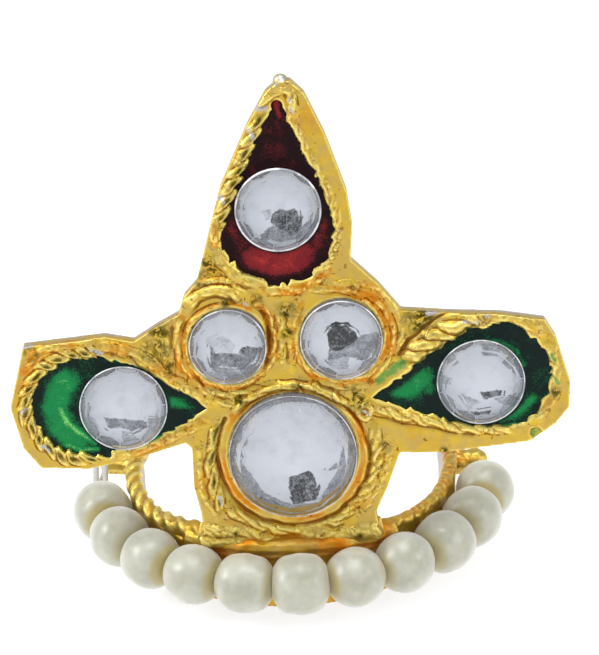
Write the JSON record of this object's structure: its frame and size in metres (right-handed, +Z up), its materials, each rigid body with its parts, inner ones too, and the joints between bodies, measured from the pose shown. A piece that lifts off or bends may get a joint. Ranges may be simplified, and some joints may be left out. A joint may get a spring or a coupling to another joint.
{
  "type": "mukut crown for a small deity figure",
  "caption": "Small deity crown: leaning gilt front plate with foil-backed clear stones and red and green enamel drops, on an open-backed ring strung with pearl beads.",
  "frame": {"origin": "middle of the head ring, on its lower edge, which is what the crown stands on", "axes": "+Z up out of the ring, -Y towards the front plate, +X to the right of a viewer who faces the plate"},
  "size_m": [0.0371, 0.0202, 0.0362],
  "materials": {
    "gilt_metal": "cast white metal, gold plated, soft polish",
    "red_enamel": "translucent glossy enamel",
    "green_enamel": "translucent glossy enamel",
    "foiled_stone": "clear cut stone with silver foil behind",
    "pearl_bead": "pearl lustre",
    "bead_thread": "twisted thread"
  },
  "bodies": {
    "root": {"crown_frame": "gilt_metal", "red_enamel": "red_enamel", "green_enamel_left": "green_enamel", "green_enamel_right": "green_enamel", "top_stone": "foiled_stone", "left_wing_stone": "foiled_stone", "right_wing_stone": "foiled_stone", "left_small_stone": "foiled_stone", "right_small_stone": "foiled_stone", "center_stone": "foiled_stone", "bead_thread": "bead_thread", "pearl_01": "pearl_bead", "pearl_02": "pearl_bead", "pearl_03": "pearl_bead", "pearl_04": "pearl_bead", "pearl_05": "pearl_bead", "pearl_06": "pearl_bead", "pearl_07": "pearl_bead", "pearl_08": "pearl_bead", "pearl_09": "pearl_bead", "pearl_10": "pearl_bead", "pearl_11": "pearl_bead"}
  },
  "joints": []
}
